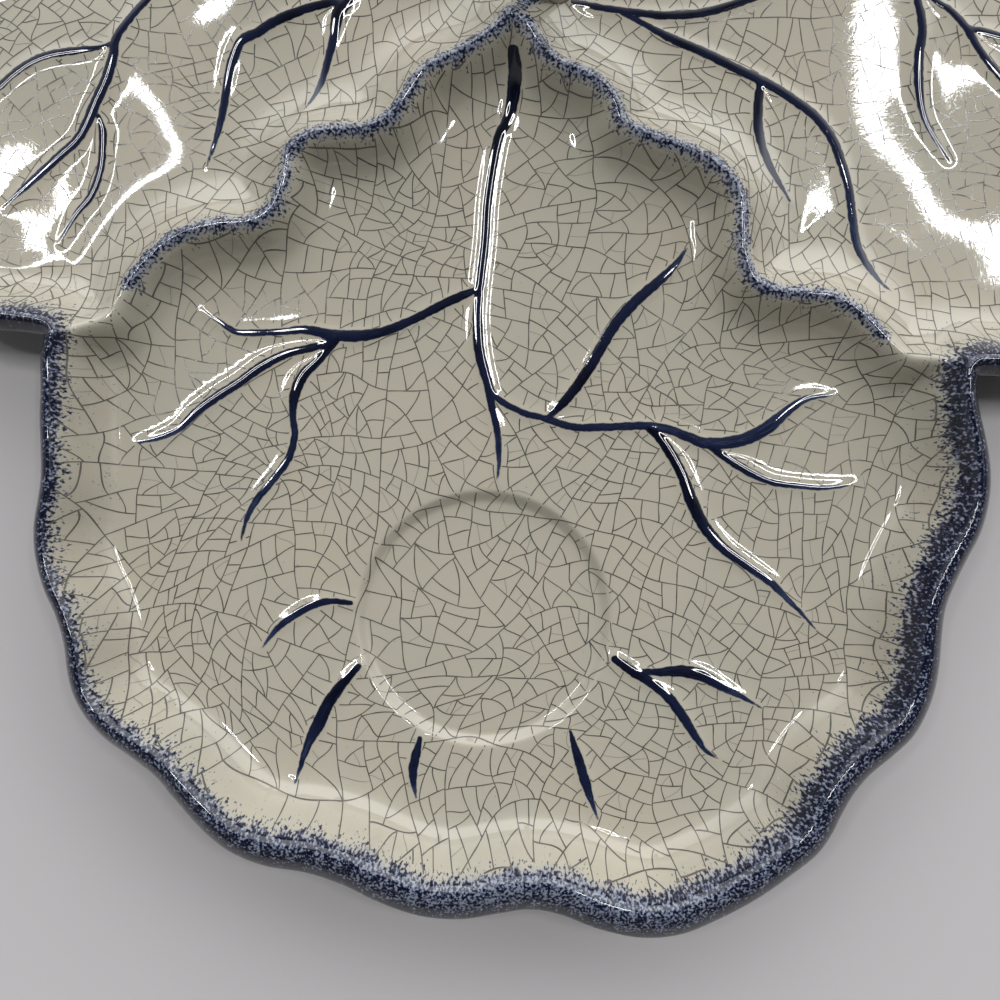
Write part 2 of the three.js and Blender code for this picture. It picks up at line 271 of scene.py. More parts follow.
def distance_to(line, reach):
    """Distance to an open line and the place of its nearest point, as a fractional index."""
    best = np.full((rows, columns), far)
    place = np.zeros((rows, columns))
    for i in range(len(line) - 1):
        a, b = line[i, :2], line[i + 1, :2]
        first = np.maximum(((np.minimum(a, b) - reach - low) / PITCH).astype(int), 0)
        last = ((np.maximum(a, b) + reach - low) / PITCH).astype(int) + 1
        ys, xs = slice(first[1], last[1]), slice(first[0], last[0])
        dx = grid_x[xs][None, :] - a[0]
        dy = grid_y[ys][:, None] - a[1]
        along = b - a
        u = np.clip((dx * along[0] + dy * along[1]) / max(along @ along, 1e-12), 0, 1)
        d = np.hypot(dx - u * along[0], dy - u * along[1])
        nearer = d < best[ys, xs]
        best[ys, xs] = np.where(nearer, d, best[ys, xs])
        place[ys, xs] = np.where(nearer, i + u, place[ys, xs])
    return best, place


def inside(loop):
    """Which raster points lie inside a closed loop."""
    mask = np.zeros((rows, columns), bool)
    a, b = loop, np.roll(loop, -1, axis=0)
    for row, y in enumerate(grid_y):
        crosses = (a[:, 1] <= y) != (b[:, 1] <= y)
        p, q = a[crosses], b[crosses]
        xs = p[:, 0] + (y - p[:, 1]) * (q[:, 0] - p[:, 0]) / (q[:, 1] - p[:, 1])
        index = np.searchsorted(grid_x, np.sort(xs))
        for start, end in zip(index[::2], index[1::2]):
            mask[row, start:end] = True
    return mask


def blurred(field, sigma):
    """A raster softened over a few times sigma, in mm."""
    reach = int(math.ceil(3 * sigma / PITCH))
    weights = np.exp(-0.5 * (np.arange(-reach, reach + 1) * PITCH / sigma) ** 2)
    weights /= weights.sum()
    for axis in (0, 1):
        size = field.shape[axis]
        spread = np.pad(field, [(reach, reach) if k == axis else (0, 0) for k in (0, 1)], mode="edge")
        total = 0
        for k, weight in enumerate(weights):
            total = total + weight * (spread[k : k + size] if axis == 0 else spread[:, k : k + size])
        field = total
    return field


def read(field, at):
    """A raster's value at places on the plan, between its points."""
    x = np.clip((at[:, 0] - low[0]) / PITCH, 0, columns - 1.001)
    y = np.clip((at[:, 1] - low[1]) / PITCH, 0, rows - 1.001)
    i, j = x.astype(int), y.astype(int)
    u, v = x - i, y - j
    return (
        field[j, i] * (1 - u) * (1 - v)
        + field[j, i + 1] * u * (1 - v)
        + field[j + 1, i] * (1 - u) * v
        + field[j + 1, i + 1] * u * v
    )


def section(table):
    """A smooth falling section through a table of (share of run, share of height)."""
    table = np.array(table)
    fine = curve_through(table, 0.004)
    return lambda share: np.interp(share, fine[:, 0], fine[:, 1])


COVE = section([
    (0, 1), (0.068, 0.93), (0.185, 0.68), (0.33, 0.36), (0.47, 0.168), (0.583, 0.082), (0.72, 0.035),
    (0.86, 0.009), (1, 0), (1.2, 0),
])
FRONT_SIDE = section([
    (0, 1), (0.05, 0.965), (0.12, 0.85), (0.21, 0.62), (0.34, 0.34), (0.52, 0.13), (0.76, 0.02), (1, 0),
    (1.2, 0),
])
BACK_SIDE = section([
    (0, 1), (0.05, 0.965), (0.1, 0.86), (0.15, 0.72), (0.21, 0.58), (0.3, 0.44), (0.45, 0.27), (0.62, 0.13),
    (0.8, 0.04), (1, 0), (1.2, 0),
])
FRONT_RUN = 17.0
BACK_RUN = 20.0
EDGE_DROP = 4.6
LIP_POWER = 2.1
EDGE_REACH = 30.0
RIDGE_REACH = 22.0


def smooth_max(a, b, soft):
    """The higher of two fields, rounded where they meet."""
    gap = np.clip(soft - np.abs(a - b), 0, None)
    return np.maximum(a, b) + gap * gap / (4 * soft)


platter = inside(outer_edge[:-1])
front_leaf = inside(np.vstack(leaf_edges["front"]))
edge_distance, edge_place = distance_to(outer_edge, EDGE_REACH)
edge_index = np.arange(len(outer_edge))
crest = np.interp(edge_place, edge_index, crest_round)
slope = np.interp(edge_place, edge_index, slope_round)
band = np.interp(edge_place, edge_index, band_round)
inwards = np.where(platter, edge_distance, -edge_distance)
lip = RIM_TOP - EDGE_DROP * np.clip((crest - inwards) / crest, 0, 1.6) ** LIP_POWER
cove = FLOOR + (RIM_TOP - FLOOR) * COVE((inwards - crest) / (slope - crest))
surface = np.where(inwards < crest, lip, cove)

ridge_band = np.full((rows, columns), far)
edge_gap = edge_distance
speck_extra = np.where(inwards < 14, np.interp(edge_place, edge_index, speck_round), RIDGE_SPECKS)
# How the dividers rise to the notches, where their paint fades, and where the back one is open, in shares
NOTCH_RISE = 3.0
NOTCH_RUN = 18.0
PAINT_START = 13.0
PAINT_FADE = 10.0
PAINT_LEFT = 6.0
RIDGE_BLEND = 2.5
HUB_GAP = [0.06, 0.17, 0.27]
for name, line in (("left", left_ridge), ("right", right_ridge), ("back", back_ridge)):
    distance, place = distance_to(line, RIDGE_REACH)
    edge_gap = np.minimum(edge_gap, distance)
    run = runs_of(line)
    to_notch = run[-1] - run
    height = RIDGE_TOP + NOTCH_RISE * ease(1 - to_notch / NOTCH_RUN)
    if name == "back":
        gone, back, full = [share * run[-1] for share in HUB_GAP]
        standing = np.where(run < gone, ease(1 - run / gone), ease((run - back) / (full - back)))
        height = FLOOR + (height - FLOOR) * standing
    paint = ease((to_notch - PAINT_START) / PAINT_FADE)
    index = np.arange(len(line))
    height = np.interp(place, index, height)
    paint = np.interp(place, index, paint)
    fall = np.where(front_leaf, FRONT_SIDE(distance / FRONT_RUN), BACK_SIDE(distance / BACK_RUN))
    ridge = FLOOR + (height - FLOOR) * fall
    surface = np.where(platter, smooth_max(surface, ridge, RIDGE_BLEND), surface)
    ridge_band = np.minimum(ridge_band, distance - RIDGE_BAND * paint + PAINT_LEFT * (1 - paint))

seat_run = np.hypot(grid_x[None, :] - SEAT_MIDDLE[0], grid_y[:, None] - SEAT_MIDDLE[1])
seat_step = ease((SEAT_OUTER - seat_run) / SEAT_STEP)
surface = surface - SEAT_DEPTH * seat_step


def chance_waves(seed, shortest, longest, count):
    """Waves that run any way, each as tall as it is long."""
    maker = np.random.default_rng(seed)
    parts = []
    for _ in range(count):
        run = maker.uniform(shortest, longest)
        turn = maker.uniform(-math.pi, math.pi)
        parts.append((run, turn, maker.uniform(0, TURN), run))
    return parts


# The hand-pressed floors swell a little, the side leaves in longer and taller waves than the front one.
# Each of their waves: how long it is, which way it runs in radians, where it starts and how tall it is
LEFT_SWELL = [
    (101.0, -1.831, 3.168, 0.228), (93.5, -0.276, 1.048, 0.309), (48.4, -0.276, 5.177, 0.196),
    (82.4, 0.043, 2.487, 0.294), (39.2, -1.200, 2.129, 0.298), (73.1, 0.887, 2.504, 0.164),
    (44.7, 0.790, 5.027, 0.221), (43.0, 0.675, 1.883, 0.134), (60.6, -0.855, 7.927, 0.175),
    (52.7, -1.032, 2.373, 0.251),
]
RIGHT_SWELL = [
    (33.9, -0.993, 5.574, 0.068), (52.3, 0.743, 0.833, 0.177), (92.0, 0.734, 2.784, 0.198),
    (72.4, 0.151, 4.924, 0.229), (91.5, -1.127, 2.128, 0.184), (49.8, 0.493, 1.533, 0.099),
    (50.3, -0.327, 1.527, 0.144), (45.4, -0.674, 2.168, 0.163), (63.7, 0.839, 3.498, 0.151),
    (67.4, 1.170, 5.957, 0.197),
]


def swell(parts):
    """The sum of some waves over the plan."""
    total = 0
    for run, turn, start, tall in parts:
        across = grid_x[None, :] * math.cos(turn) + grid_y[:, None] * math.sin(turn)
        total = total + tall * np.cos(TURN * across / run + start)
    return total


SWELL_START = 3.0
SWELL_FADE = 14.0
LEAF_BLEND = 3.0
front_share = blurred(front_leaf.astype(float), LEAF_BLEND)
left_share = blurred(inside(np.vstack(leaf_edges["left"])).astype(float), LEAF_BLEND)
side_swell = left_share * swell(LEFT_SWELL) + (1 - front_share - left_share) * swell(RIGHT_SWELL)
front_waves = swell(chance_waves(seed=7, shortest=22, longest=52, count=18))
front_waves = front_waves / np.sqrt((front_waves * front_waves).mean())
surface = surface + FRONT_SWELL * front_share * front_waves
surface = surface + side_swell * ease((inwards - SWELL_START) / SWELL_FADE)

# Veins, as seen: x, y and width
FRONT_VEINS = [
    [(513, 52, 11), (515, 75, 14), (508, 120, 11), (500, 134, 10), (488, 198, 10), (485, 242, 10),
     (480, 287, 10), (478, 319, 11), (480, 351, 12), (486, 376, 10), (494, 395, 7), (519, 411, 6.5),
     (546, 419, 7), (573, 427, 8), (612, 427, 8), (647, 426, 8.5), (666, 429, 9), (688, 437, 10),
     (704, 443, 11), (742, 440, 13), (768, 427, 13), (787, 411, 10), (806, 399, 7), (832, 395, 2)],
    [(484, 374, 5), (491, 402, 8), (497, 430, 7), (499, 460, 5), (497, 480, 2)],
    [(479, 289, 6), (462, 296, 9), (446, 303, 9), (415, 319, 9), (383, 332, 10), (360, 336, 12),
     (332, 335, 11), (306, 330, 9), (281, 332, 7), (255, 333, 7), (236, 332, 6), (220, 322, 5),
     (205, 311, 2)],
    [(338, 338, 7), (319, 346, 8), (287, 354, 9), (261, 367, 10), (239, 383, 10), (220, 395, 10),
     (198, 411, 9), (179, 429, 7), (159, 438, 5), (138, 443, 2)],
    [(338, 338, 8), (319, 360, 9), (303, 376, 11), (295, 395, 11), (293, 415, 7), (295, 434, 7),
     (290, 456, 8), (277, 475, 8), (257, 500, 7), (247, 519, 5), (241, 541, 2)],
    [(548, 418, 4), (556, 410, 8), (570, 395, 10), (586, 373, 11), (599, 351, 11), (615, 325, 11),
     (637, 300, 11), (659, 281, 10), (675, 265, 7), (687, 248, 2)],
    [(702, 442, 5), (723, 456, 8), (749, 472, 9), (771, 482, 7), (797, 486, 6), (825, 488, 5),
     (850, 485, 2)],
    [(647, 426, 8), (659, 437, 10), (672, 456, 11), (682, 475, 11), (691, 500, 13), (704, 526, 12),
     (723, 548, 11), (749, 567, 9), (771, 583, 8), (787, 599, 6), (800, 612, 4), (815, 629, 1.5)],
    [(351, 603, 5), (332, 601, 6.5), (313, 605, 8), (293, 616, 8), (277, 629, 6), (262, 648, 2)],
    [(359, 666, 6), (344, 682, 10), (328, 704, 12), (319, 723, 13), (309, 742, 9), (295, 783, 2)],
    [(420, 738, 5), (416, 755, 9), (413, 771, 9), (416, 798, 2)],
    [(570, 731, 3), (577, 755, 9), (585, 781, 10), (591, 800, 6), (598, 819, 1.5)],
    [(615, 659, 8), (632, 671, 10), (650, 682, 10), (669, 698, 10), (683, 717, 10), (695, 736, 8),
     (707, 752, 4), (719, 759, 1.5)],
    [(634, 671, 5), (659, 672, 8), (682, 671, 12), (701, 675, 13), (723, 687, 9), (742, 697, 5),
     (762, 708, 1.5)],
]
RIGHT_VEINS = [
    [(573, 2, 6), (595, 7, 7), (621, 11, 7), (666, 16, 9), (704, 13, 9), (742, 2, 9), (800, -24, 10),
     (880, -62, 10), (960, -112, 10), (1060, -185, 9), (1150, -275, 7), (1210, -370, 4),
     (1240, -440, 1.5)],
    [(615, 10, 5), (643, 24, 6), (669, 38, 9), (704, 53, 10), (736, 69, 10), (755, 78, 10),
     (774, 88, 10), (793, 100, 10), (816, 118, 10), (832, 140, 10), (841, 163, 10), (848, 188, 9),
     (852, 217, 9), (857, 246, 9), (867, 265, 8), (881, 283, 4), (892, 292, 1.5)],
    [(760, 85, 8), (758, 105, 10), (758, 128, 10), (763, 150, 9), (771, 169, 8), (790, 202, 2)],
    [(890, -66, 6), (909, -40, 8), (917, 0, 8), (920, 13, 9), (922, 32, 9), (919, 51, 10), (918, 77, 10),
     (920, 102, 8), (925, 121, 6), (934, 138, 5), (949, 161, 2)],
    [(912, -60, 5), (918, -24, 6), (934, 0, 6), (949, 10, 7), (965, 27, 8), (971, 37, 8), (982, 55, 8),
     (1000, 77, 8), (1040, 120, 7), (1080, 180, 5), (1105, 230, 1.5)],
    [(966, 28, 5), (982, 32, 8), (1004, 38, 8), (1060, 60, 7), (1120, 100, 5), (1170, 150, 1.5)],
    [(980, -124, 6), (1050, -110, 9), (1130, -70, 8), (1210, -10, 6), (1270, 60, 1.5)],
    [(1080, -202, 6), (1160, -205, 8), (1240, -190, 6), (1320, -150, 1.5)],
    [(780, -15, 5), (810, -70, 9), (820, -140, 9), (850, -215, 7), (860, -300, 1.5)],
    [(900, -74, 5), (930, -150, 9), (945, -230, 8), (980, -310, 6), (985, -400, 1.5)],
    [(1040, -170, 5), (1070, -250, 8), (1080, -330, 6), (1110, -410, 1.5)],
]
LEFT_VEINS = [
    [(540, -22, 6), (500, -16, 8), (430, -13, 9), (360, -16, 10), (290, -34, 10), (210, -58, 10),
     (130, -98, 10), (50, -160, 9), (-20, -240, 8), (-70, -330, 6), (-110, -410, 1.5)],
    [(196, -62, 6), (175, -30, 8), (147, 0, 8), (131, 18, 8), (116, 40, 9), (114, 54, 10), (107, 79, 11),
     (97, 101, 11), (80, 137, 10), (57, 159, 9), (32, 182, 8), (4, 207, 2)],
    [(114, 43, 4), (99, 48, 5), (77, 51, 8), (51, 55, 8), (32, 62, 8), (13, 75, 8), (0, 87, 8),
     (-40, 120, 6), (-75, 160, 1.5)],
    [(99, 116, 4), (103, 130, 8), (103, 148, 8), (101, 169, 8), (92, 195, 8), (77, 214, 6), (60, 242, 2)],
    [(352, -14, 8), (349, 0, 12), (339, 13, 13), (334, 38, 9), (329, 57, 8), (323, 79, 7), (316, 94, 5),
     (305, 109, 2)],
    [(340, 2, 5), (332, 3, 8), (311, 8, 9), (291, 15, 10), (273, 23, 10), (258, 33, 10), (242, 41, 10),
     (233, 61, 10), (228, 83, 9), (223, 112, 8), (217, 137, 6), (207, 166, 2)],
    [(150, -90, 5), (90, -60, 8), (20, -20, 8), (-60, 20, 7), (-120, 70, 1.5)],
    [(40, -168, 5), (-30, -140, 8), (-110, -120, 7), (-190, -80, 1.5)],
    [(420, -14, 5), (400, -70, 9), (395, -150, 9), (370, -220, 7), (360, -300, 1.5)],
    [(260, -44, 5), (250, -110, 9), (240, -190, 8), (210, -270, 6), (200, -360, 1.5)],
    [(120, -104, 5), (110, -180, 8), (100, -260, 6), (70, -340, 1.5)],
]
# Each vein is a low rib with soft flanks, painted along its top
RIB_HEIGHT = 0.52
RIB_HALF = 1.1
RIB_FLANK = 1.25
VEIN_REACH = 11.0
VEIN_LEAST = 0.12
VEINS_APART = 37  # so that no two veins are streaked alike
GLAZE_BLUR = 0.35
rib_height = np.zeros((rows, columns))
vein_gap = np.full((rows, columns), far)
vein_tone = np.zeros((rows, columns))
vein_along = np.zeros((rows, columns))


def on_surface(points):
    """Places on the plan, and half widths, of points that are seen on the glaze at its own height."""
    height = np.full(len(points), FLOOR)
    for _ in range(6):
        at = seen(points, height)
        height = read(surface, at)
    at[:, 2] *= (EYE_HEIGHT - height) * PIXEL_RUN / 2
    return at


for veins in (FRONT_VEINS, LEFT_VEINS, RIGHT_VEINS):
    for number, vein in enumerate(veins):
        line = curve_through(on_surface(vein), 0.6)
        distance, place = distance_to(line, VEIN_REACH)
        index = np.arange(len(line))
        half = np.clip(np.interp(place, index, line[:, 2]), VEIN_LEAST, None)
        run = np.interp(place, index, runs_of(line))
        whole = runs_of(line)[-1]
        near = distance < VEIN_REACH
        rib = RIB_HEIGHT * (half / RIB_HALF) ** 0.7 * np.exp(-((distance / (RIB_FLANK + 0.55 * half)) ** 2))
        rib_height = np.where(near, (rib_height**4 + rib**4) ** 0.25, rib_height)
        nearer = near & (distance - half < vein_gap)
        fade = np.clip((whole - run) / whole, 0, 1)
        tone = np.clip(0.25 + 0.9 * fade * half / 1.2, 0, 1)
        vein_gap = np.where(nearer, distance - half, vein_gap)
        vein_tone = np.where(nearer, tone, vein_tone)
        vein_along = np.where(nearer, run + VEINS_APART * number, vein_along)
surface = surface + np.where(platter, rib_height, 0)
surface = blurred(surface, GLAZE_BLUR)

rise_y, rise_x = np.gradient(surface, PITCH)


def heights(at):
    return read(surface, at)


def normals(at):
    return unit(np.stack([-read(rise_x, at), -read(rise_y, at), np.ones(len(at))], 1))


# The blue bands: millimetres outside a band's edge, less than nothing within it
blue_gap = np.minimum(inwards - band, ridge_band)
# Wide cells of crackle along a stretch of the front rim: millimetres outside that strip
STRIP_START = 0.28
STRIP_END = 0.43
STRIP_FADE = 0.05
STRIP_REACH = 24.5
STRIP_LEFT = 4.0
STRIP_BLUR = 1.2
GAP_LIMIT = 20.0
rim_share = edge_place / front_count
strip_share = ease((rim_share - STRIP_START) / STRIP_FADE) * ease((STRIP_END - rim_share) / STRIP_FADE)
strip_reach = STRIP_REACH * strip_share - STRIP_LEFT * (1 - strip_share)
wide_gap = np.where(edge_place < front_count, inwards - strip_reach, GAP_LIMIT)
wide_gap = blurred(np.clip(wide_gap, -GAP_LIMIT, GAP_LIMIT), STRIP_BLUR)


def mesh_object(name, points, faces, facing=None):
    """An object from points in mm, with its own shading directions where they are given."""
    data = bpy.data.meshes.new(name)
    data.from_pydata((np.asarray(points) * MM).tolist(), [], faces)
    data.update()
    data.shade_smooth()
    if facing is not None:
        data.normals_split_custom_set_from_vertices(facing.tolist())
    thing = bpy.data.objects.new(name, data)
    bpy.context.scene.collection.objects.link(thing)
    return thing


def on_platter(points):
    """Points on the plan moved to the frame's own place."""
    moved = np.array(points, float)
    moved[:, 0] += plan_x
    moved[:, 1] += plan_y
    return moved


def set_attribute(data, name, values):
    kind = "FLOAT_VECTOR" if values.ndim == 2 else "FLOAT"
    attribute = data.attributes.new(name, kind, "POINT")
    field = "vector" if values.ndim == 2 else "value"
    attribute.data.foreach_set(field, values.astype(np.float32).ravel())


# Crackle: fine stained cracks, each ending squarely on an older one
CELL_AREA = 18.5
CELL_SPREAD = (0.8, 1.5)
CUT_STEP = 0.9
SQUARENESS = 0.6
SEAT_CELLS = 1.3
COVE_CELLS = 1.25
WIDE_CELLS = 6.0
CRACK_HALF = 0.125
HAIR_HALF = 0.07
HAIR_INK = 0.3
CRACK_LIFT = 0.035
LEAST_PART = 0.12
OFF_AREA = 12 * CELL_AREA
HAIR_SHARE = 0.22
WAY_SPREAD = 0.14
ROUND_SPREAD = 0.8
HALF_SPREAD = 0.14
# Where the cells change size: just inside the seat, and at the foot of the rim's slope
SEAT_EDGE = 27.0
COVE_EDGE = 19.0
COVE_FADE = 6.0
CELL_FADE = 3.0


def bender(seed, short, long, size, count):
    """A smooth push for places on the plan, in mm."""
    maker = np.random.default_rng(seed)
    runs = maker.uniform(short, long, count)
    turns = maker.uniform(0, TURN, count)
    starts = maker.uniform(0, TURN, (2, count))
    way = TURN / runs * np.stack([np.cos(turns), np.sin(turns)])

    def bent(at):
        phase = at @ way
        push = np.stack([np.sin(phase + start).sum(1) for start in starts], 1)
        return at + push * size * math.sqrt(2 / count)

    return bent


near_bend = bender(seed=1, short=9, long=18, size=0.2, count=16)
slow_bend = bender(seed=2, short=50, long=95, size=2.2, count=12)


def parted(patch, point, way):
    """A patch parted near a line through a point, by a crack that meets the patch's sides squarely."""
    after = np.roll(patch, -1, axis=0)
    across = np.array([-way[1], way[0]])
    side = (patch - point) @ across
    other = (after - point) @ across
    hits = np.flatnonzero((side >= 0) != (other >= 0))
    share = side[hits] / (side[hits] - other[hits])
    meets = patch[hits] + (after[hits] - patch[hits]) * share[:, None]
    run = (meets - point) @ way
    ahead, behind = run > 0, run <= 0
    if not ahead.any() or not behind.any():
        return None
    first = np.flatnonzero(behind)[run[behind].argmax()]
    last = np.flatnonzero(ahead)[run[ahead].argmin()]
    a, b = meets[first], meets[last]
    length = np.linalg.norm(b - a)
    pulls = []
    for hit in (hits[first], hits[last]):
        edge = after[hit] - patch[hit]
        square = np.array([-edge[1], edge[0]]) / (np.linalg.norm(edge) + 1e-9)
        if square @ way < 0:
            square = -square
        pull = way * (1 - SQUARENESS) + square * SQUARENESS
        pulls.append(pull / np.linalg.norm(pull) * length)
    u = np.linspace(0, 1, max(3, int(round(length / CUT_STEP)) + 1))[:, None]
    line = curve_between(a, b, *pulls, u)
    i, j, total = hits[first], hits[last], len(patch)
    from_last = patch[np.arange(j + 1, j + 1 + (i - j) % total) % total]
    from_first = patch[np.arange(i + 1, i + 1 + (j - i) % total) % total]
    return line, np.vstack([line, from_last]), np.vstack([line[::-1], from_first])


def area_of(patch):
    x, y = patch[:, 0], patch[:, 1]
    return abs((x * np.roll(y, -1) - y * np.roll(x, -1)).sum()) / 2


cell_size = 1 + (SEAT_CELLS - 1) * ease((SEAT_EDGE - seat_run) / CELL_FADE)
by_front_rim = ease((COVE_EDGE - inwards) / COVE_FADE) * (edge_place < front_count)
cell_size = cell_size + (COVE_CELLS - 1) * by_front_rim
cell_size = cell_size + (WIDE_CELLS - 1) * ease(-wide_gap / CELL_FADE)


def crack_lines(seed):
    """The cracks' lines on the plan, each with how dark it is: patches parted again and again."""
    maker = np.random.default_rng(seed)
    corners = np.array([low, (high[0], low[1]), high, (low[0], high[1])])
    share = np.linspace(0, 1, 90)[:-1, None]
    sides = [a + (b - a) * share for a, b in zip(corners, np.roll(corners, -1, axis=0))]
    patches = [np.vstack(sides)]
    lines = []
    while patches:
        patch = patches.pop()
        area = area_of(patch)
        after = np.roll(patch, -1, axis=0)
        size = np.linalg.norm(after - patch, axis=1)
        halfway = (after + patch) / 2
        middle = (halfway * size[:, None]).sum(0) / size.sum()
        # A patch off the platter is left whole
        if area < OFF_AREA and read(inwards, slow_bend(patch)).max() < 0:
            continue
        limit = CELL_AREA * read(cell_size, slow_bend(middle[None]))[0] * maker.uniform(*CELL_SPREAD)
        hair = area < limit
        if hair and maker.uniform() > HAIR_SHARE:
            continue
        off = halfway - middle
        spreads, ways = np.linalg.eigh((off * size[:, None]).T @ off)
        turn = maker.normal(0, WAY_SPREAD)
        if spreads[1] < 1.25 * spreads[0]:
            turn += maker.uniform(-ROUND_SPREAD, ROUND_SPREAD)
        c, s = math.cos(turn), math.sin(turn)
        long_way = ways[:, 1]
        across = np.array([long_way[0] * c - long_way[1] * s, long_way[0] * s + long_way[1] * c])
        reach = off @ across
        point = middle + across * maker.uniform(-0.1, 0.1) * (reach.max() - reach.min())
        made = parted(patch, point, np.array([-across[1], across[0]]))
        if made is None or min(area_of(made[1]), area_of(made[2])) < LEAST_PART * area:
            continue
        lines.append((slow_bend(near_bend(made[0])), HAIR_INK if hair else 1.0))
        if not hair:
            patches += made[1:]
    return lines


cracks = crack_lines(5)


def crackle_skin(name, mask, tree):
    """A leaf's cracks as thin strips that lie on its glaze."""
    points, ink, faces = [], [], []
    count = 0
    for line, dark in cracks:
        along = unit(np.gradient(line, axis=0), 1e-9)
        half = CRACK_HALF if dark == 1 else HAIR_HALF
        half = half * (1 + HALF_SPREAD * np.sin(line[:, 0] * 0.9 + line[:, 1] * 1.3))
        shift = half[:, None] * np.stack([-along[:, 1], along[:, 0]], 1)
        shown = (read(mask, line) > 0.5) & (read(blue_gap, line) > -0.5) & (read(vein_gap, line) > 0.05)
        shown &= read(inwards, line) > 1.0
        if shown.sum() < 2:
            continue
        points += [line - shift, line + shift]
        ink.append(np.full(2 * len(line), dark))
        size = len(line)
        for i in np.flatnonzero(shown[:-1] & shown[1:]):
            faces.append([count + i, count + i + 1, count + size + i + 1, count + size + i])
        count += 2 * size
    at, ink, faces = np.vstack(points), np.concatenate(ink), np.array(faces)
    used, place = np.unique(faces, return_inverse=True)
    at, ink, faces = at[used], ink[used], place.reshape(faces.shape)
    tall = heights(at)
    for i, (x, y) in enumerate(at):
        hit = tree.ray_cast(Vector((x, y, tall[i] + 3)), Vector((0, 0, -1)))[0]
        if hit is not None and abs(hit.z - tall[i]) < 1:
            tall[i] = hit.z
    facing = normals(at)
    tall = tall + CRACK_LIFT / facing[:, 2]
    thing = mesh_object(name, on_platter(np.column_stack([at, tall])), faces.tolist(), facing)
    set_attribute(thing.data, "flat", np.column_stack([at, np.zeros(len(at))]))
    set_attribute(thing.data, "ink", ink)
    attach(thing, "root")
    return thing


# Leaf skins
FINE_STEP = 0.4
WALL_BAND = 5.6
FAR_GAP = 9.0
LEVELS = 3
COVE_RUN = 18.0
SMOOTHING_RUN = 24.0
# The wall under a rim: how far in, as a share of the way to the floor's edge, at each height
WALL = [
    (0.012, 19.3), (0.03, 17.0), (0.07, 14.6), (0.16, 12.0), (0.3, 9.3), (0.47, 6.7), (0.66, 4.6),
    (0.84, 3.4), (1.0, UNDERSIDE),
]
INNER_ROWS = [0.4, 0.9]


def floor_edge(outline):
    """The leaf's outline without its scallops, moved inwards."""
    step = np.linalg.norm(np.roll(outline, -1, axis=0) - outline, axis=1)
    reach = int(SMOOTHING_RUN / step.mean())
    total = np.zeros_like(outline)
    weight = np.zeros(len(outline))
    for k in range(-reach, reach + 1):
        total += np.roll(outline * step[:, None], k, axis=0)
        weight += np.roll(step, k)
    smooth = total / weight[:, None]
    return smooth + COVE_RUN * left_of(smooth)


def lattice(leaf_mask, edge):
    """Points inside a leaf: close together by the veins, wider on the slopes and widest on the floor."""
    first = np.floor(edge.min(0) / FINE_STEP).astype(int)
    last = np.ceil(edge.max(0) / FINE_STEP).astype(int)
    i, j = np.meshgrid(np.arange(first[0], last[0]), np.arange(first[1], last[1]))
    i, j = i.ravel(), j.ravel()
    at = np.stack([i, j], 1) * FINE_STEP
    keep = read(leaf_mask.astype(float), at) > 0.99
    i, j, at = i[keep], j[keep], at[keep]
    spacing = np.full(len(at), 2 ** (LEVELS - 1))
    to_edge = read(edge_gap, at)
    to_step = np.abs(read(seat_run, at) - SEAT_EDGE)
    spacing[(to_edge < 20) | (to_step < 4)] = 2
    spacing[to_step < 2.4] = 1
    spacing[read(vein_gap, at) < 2.2] = 1
    keep = (i % spacing == 0) & (j % spacing == 0) & (to_edge > 0.62 * FINE_STEP * spacing)
    return at[keep]


def within(loop, at):
    """Which places lie inside a closed loop."""
    a, b = loop, np.roll(loop, -1, axis=0)
    odd = np.zeros(len(at), bool)
    for p, q in zip(a, b):
        if p[1] == q[1]:
            continue
        crosses = (p[1] <= at[:, 1]) != (q[1] <= at[:, 1])
        odd ^= crosses & (at[:, 0] < p[0] + (at[:, 1] - p[1]) * (q[0] - p[0]) / (q[1] - p[1]))
    return odd


